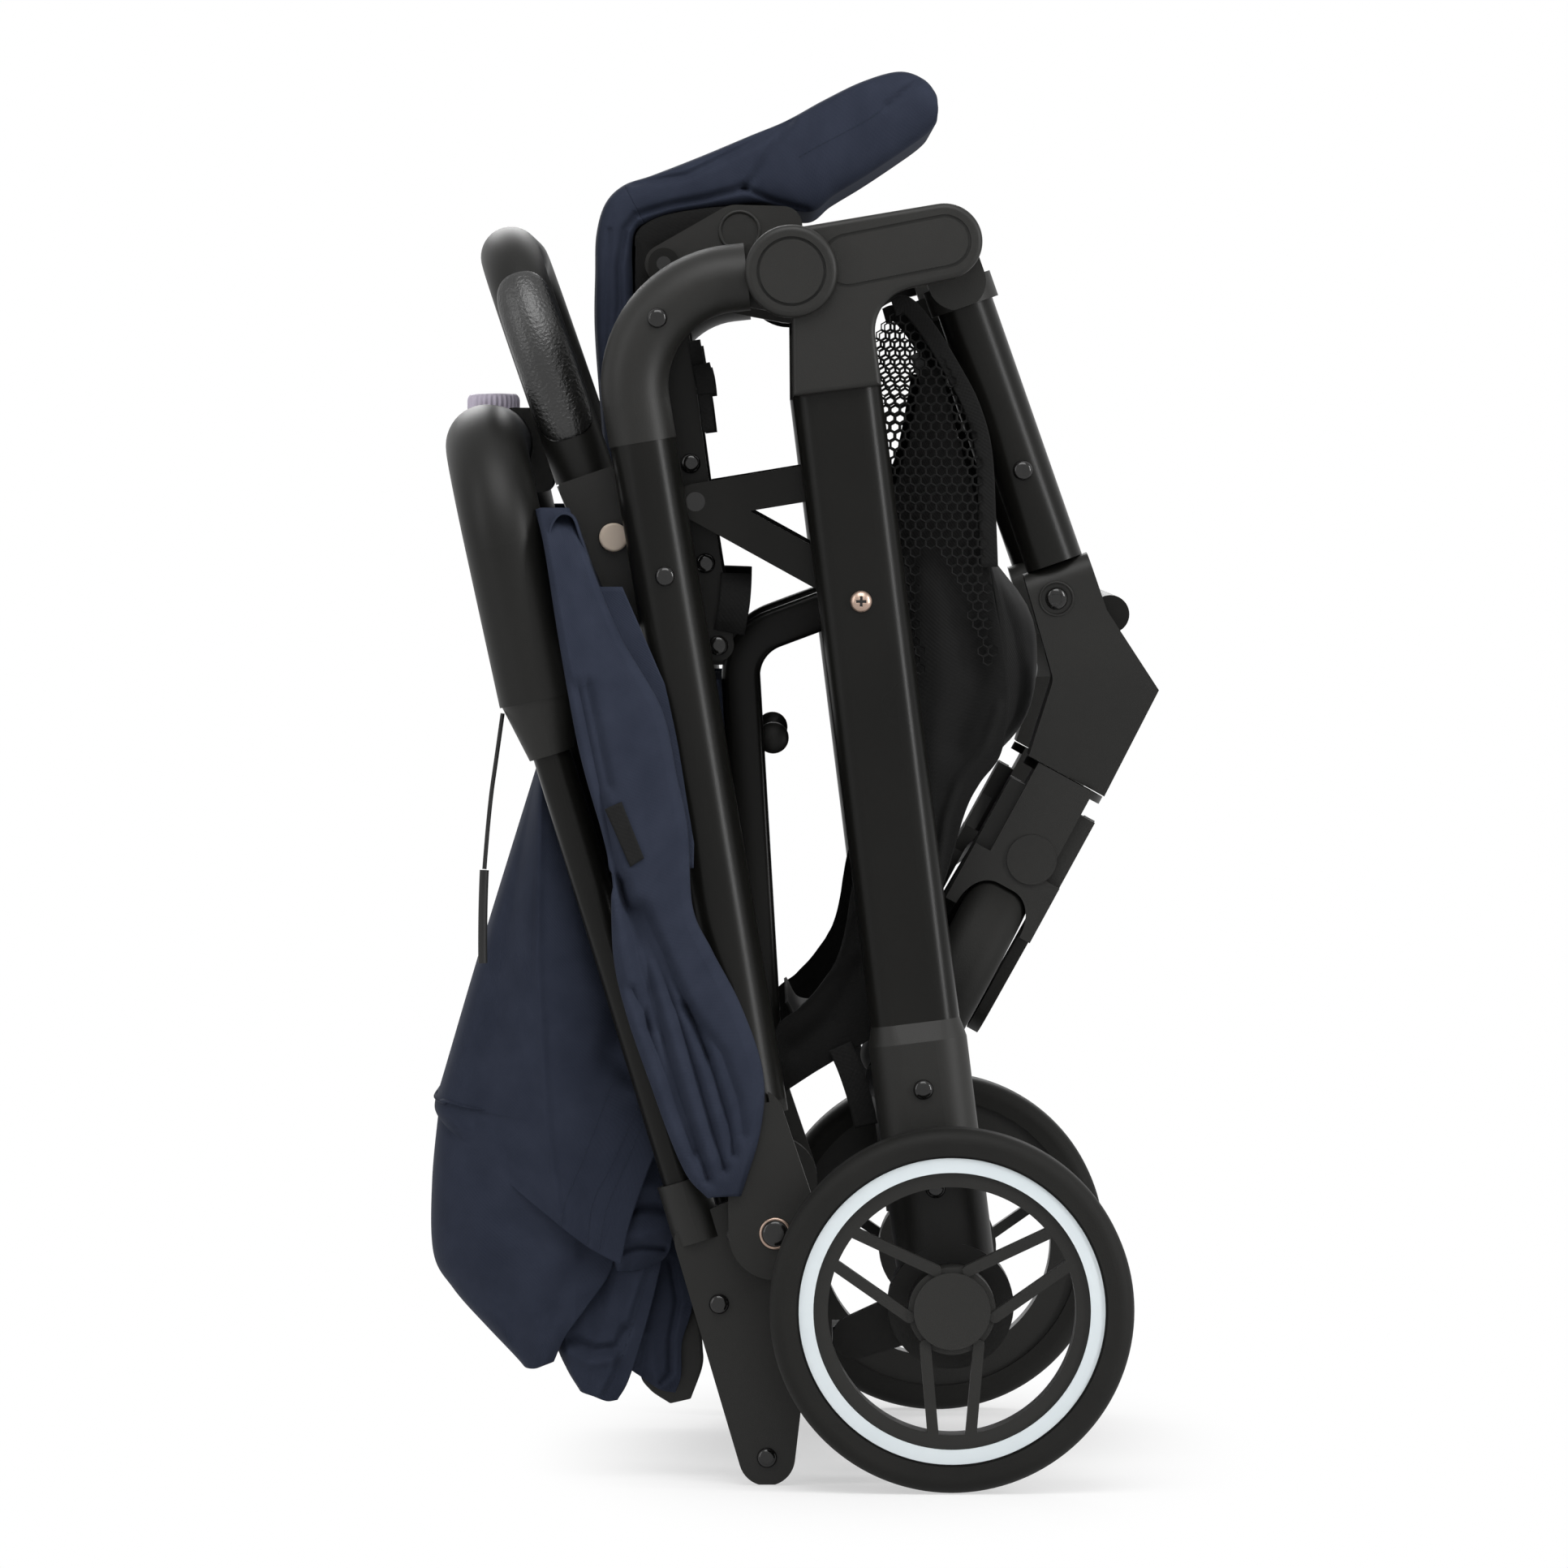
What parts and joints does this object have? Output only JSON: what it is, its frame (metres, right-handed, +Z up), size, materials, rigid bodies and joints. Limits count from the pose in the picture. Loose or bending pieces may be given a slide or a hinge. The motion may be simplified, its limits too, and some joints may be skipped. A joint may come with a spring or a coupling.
{
  "type": "folding baby stroller",
  "caption": "Compact baby stroller standing folded on its rear wheels and handle feet, with navy cloth seat and canopy, black frame, bumper bar and basket.",
  "frame": {"origin": "middle of the footprint, on the floor, of the folded stroller as it stands", "axes": "+Z up, +X towards the folded front wheels, -Y towards the viewer of the picture"},
  "size_m": [0.3018, 0.472, 0.5869],
  "materials": {
    "painted_tube": "matte charcoal coat",
    "moulded_black": "fine-grained black",
    "tyre_black": "matte",
    "pale_ring": "satin blue-white",
    "steel": "plated",
    "navy_cloth": "woven navy",
    "black_cloth": "woven black",
    "net_black": "knitted honeycomb",
    "grip_black": "smooth leatherette",
    "pad_leather": "stitched leatherette",
    "cream": "satin",
    "lilac_grey": "satin",
    "cord_black": "satin"
  },
  "bodies": {
    "rear_frame": {"rear_leg_right": "painted_tube", "rear_leg_left": "painted_tube", "hub_housing_right": "moulded_black", "hub_housing_left": "moulded_black", "pivot_knobs": "moulded_black", "wheel_holders": "moulded_black", "rear_axle": "painted_tube", "seat_brackets": "painted_tube", "frame_fasteners": "steel", "basket_net": "net_black", "basket_cloth": "black_cloth"},
    "brake": {"brake_pedal": "moulded_black"},
    "upper_frame": {"upper_tube_right": "painted_tube", "upper_tube_left": "painted_tube", "upper_elbows": "moulded_black", "hinge_fittings": "moulded_black", "upper_fasteners": "steel"},
    "handle": {"handle_brackets": "moulded_black", "handle_tube_right": "painted_tube", "handle_tube_left": "painted_tube", "handle_collars": "moulded_black", "handle_fasteners": "steel", "handle_grip": "grip_black", "release_housing": "moulded_black", "release_cable": "cord_black", "cable_sleeve": "cord_black", "canopy_hood": "navy_cloth"},
    "release_button": {"release_button": "lilac_grey"},
    "canopy_bow": {"canopy_bow": "painted_tube", "canopy_visor": "navy_cloth"},
    "bumper": {"bumper_bar": "grip_black", "bumper_pads": "pad_leather", "bumper_arms": "moulded_black"},
    "bumper_button_right": {"bumper_button_right": "cream"},
    "bumper_button_left": {"bumper_button_left": "cream"},
    "front_frame": {"front_collars": "moulded_black", "front_leg_right": "painted_tube", "front_leg_left": "painted_tube", "front_elbows": "moulded_black", "front_fasteners": "steel", "front_crossbar": "painted_tube"},
    "fork_right": {"fork_right": "moulded_black"},
    "fork_left": {"fork_left": "moulded_black"},
    "front_wheel_right": {"front_tyre_right": "tyre_black", "front_rim_right": "moulded_black"},
    "front_wheel_left": {"front_tyre_left": "tyre_black", "front_rim_left": "moulded_black"},
    "rear_wheel_right": {"rear_tyre_right": "tyre_black", "rear_rim_right": "moulded_black", "rear_ring_right": "pale_ring"},
    "rear_wheel_left": {"rear_tyre_left": "tyre_black", "rear_rim_left": "moulded_black", "rear_ring_left": "pale_ring"},
    "seat": {"seat_frame": "painted_tube", "seat_fasteners": "steel", "seat_pad": "navy_cloth"},
    "legrest": {"legrest_plates": "moulded_black", "legrest_pad": "navy_cloth"},
    "backrest": {"backrest_frame": "painted_tube", "backrest_pad": "navy_cloth"}
  },
  "joints": [
    {"name": "frame_fold", "type": "hinge", "parent": "rear_frame", "child": "upper_frame", "pos_m": [-0.0022, 0, 0.5021], "axis": [0, 1, 0], "range_deg": [0, 90]},
    {"name": "handle_fold", "type": "hinge", "parent": "upper_frame", "child": "handle", "pos_m": [-0.0089, 0, 0.105], "axis": [0, 1, 0], "range_deg": [-152, 0]},
    {"name": "canopy_fold", "type": "hinge", "parent": "handle", "child": "canopy_bow", "pos_m": [-0.026, 0, 0.1035], "axis": [0, 1, 0], "range_deg": [0, 95], "deforming": ["canopy_hood", "canopy_visor"]},
    {"name": "bumper_fold", "type": "hinge", "parent": "upper_frame", "child": "bumper", "pos_m": [-0.049, 0, 0.3222], "axis": [0, 1, 0], "range_deg": [-48, 0]},
    {"name": "front_fold", "type": "hinge", "parent": "rear_frame", "child": "front_frame", "pos_m": [0.0609, 0, 0.5145], "axis": [0, 1, 0], "range_deg": [-82, 0], "deforming": ["basket_net", "basket_cloth"]},
    {"name": "seat_fold", "type": "hinge", "parent": "rear_frame", "child": "seat", "pos_m": [-0.0419, 0, 0.4071], "axis": [0, 1, 0], "range_deg": [0, 33]},
    {"name": "backrest_fold", "type": "hinge", "parent": "seat", "child": "backrest", "pos_m": [-0.0325, 0, 0.3473], "axis": [0, 1, 0], "range_deg": [0, 72]},
    {"name": "legrest_tilt", "type": "hinge", "parent": "seat", "child": "legrest", "pos_m": [-0.0551, 0, 0.506], "axis": [0, 1, 0], "range_deg": [-60, 0], "deforming": ["legrest_pad"]},
    {"name": "fork_swivel_right", "type": "hinge", "parent": "front_frame", "child": "fork_right", "pos_m": [0.1128, -0.126, 0.2925], "axis": [0.4801, 0, 0.8772], "range_deg": [-90, 90]},
    {"name": "fork_swivel_left", "type": "hinge", "parent": "front_frame", "child": "fork_left", "pos_m": [0.1128, 0.126, 0.2925], "axis": [0.4801, 0, 0.8772], "range_deg": [-90, 90]},
    {"name": "front_spin_right", "type": "hinge", "parent": "fork_right", "child": "front_wheel_right", "pos_m": [0.06479, -0.109, 0.20478], "axis": [0.8772, 0, -0.4801], "continuous": true},
    {"name": "front_spin_left", "type": "hinge", "parent": "fork_left", "child": "front_wheel_left", "pos_m": [0.06479, 0.109, 0.20478], "axis": [0.8772, 0, -0.4801], "continuous": true},
    {"name": "rear_spin_right", "type": "hinge", "parent": "rear_frame", "child": "rear_wheel_right", "pos_m": [0.0637, -0.222, 0.075], "axis": [0, 1, 0], "continuous": true},
    {"name": "rear_spin_left", "type": "hinge", "parent": "rear_frame", "child": "rear_wheel_left", "pos_m": [0.0637, 0.222, 0.075], "axis": [0, 1, 0], "continuous": true},
    {"name": "release_press", "type": "slide", "parent": "handle", "child": "release_button", "axis": [0, 0, -1], "range_m": [0, 0.003], "stiffness_N_per_m": 400, "springref_m": -0.002},
    {"name": "bumper_press_right", "type": "slide", "parent": "bumper", "child": "bumper_button_right", "axis": [0, 1, 0], "range_m": [0, 0.0025], "stiffness_N_per_m": 400, "springref_m": -0.002},
    {"name": "bumper_press_left", "type": "slide", "parent": "bumper", "child": "bumper_button_left", "axis": [0, -1, 0], "range_m": [0, 0.0025], "stiffness_N_per_m": 400, "springref_m": -0.002},
    {"name": "brake_press", "type": "hinge", "parent": "rear_frame", "child": "brake", "pos_m": [0.0637, 0, 0.075], "axis": [0, 1, 0], "range_deg": [-15, 0], "stiffness_Nm_per_rad": 1, "springref_deg": 17.19}
  ],
  "couplings": [
    {"joint": "handle_fold", "follows": "frame_fold", "ratio": -1.6889},
    {"joint": "canopy_fold", "follows": "frame_fold", "ratio": 1.0556},
    {"joint": "bumper_fold", "follows": "frame_fold", "ratio": -0.53333},
    {"joint": "front_fold", "follows": "frame_fold", "ratio": -0.91111},
    {"joint": "seat_fold", "follows": "frame_fold", "ratio": 0.36667},
    {"joint": "backrest_fold", "follows": "frame_fold", "ratio": 0.8}
  ]
}
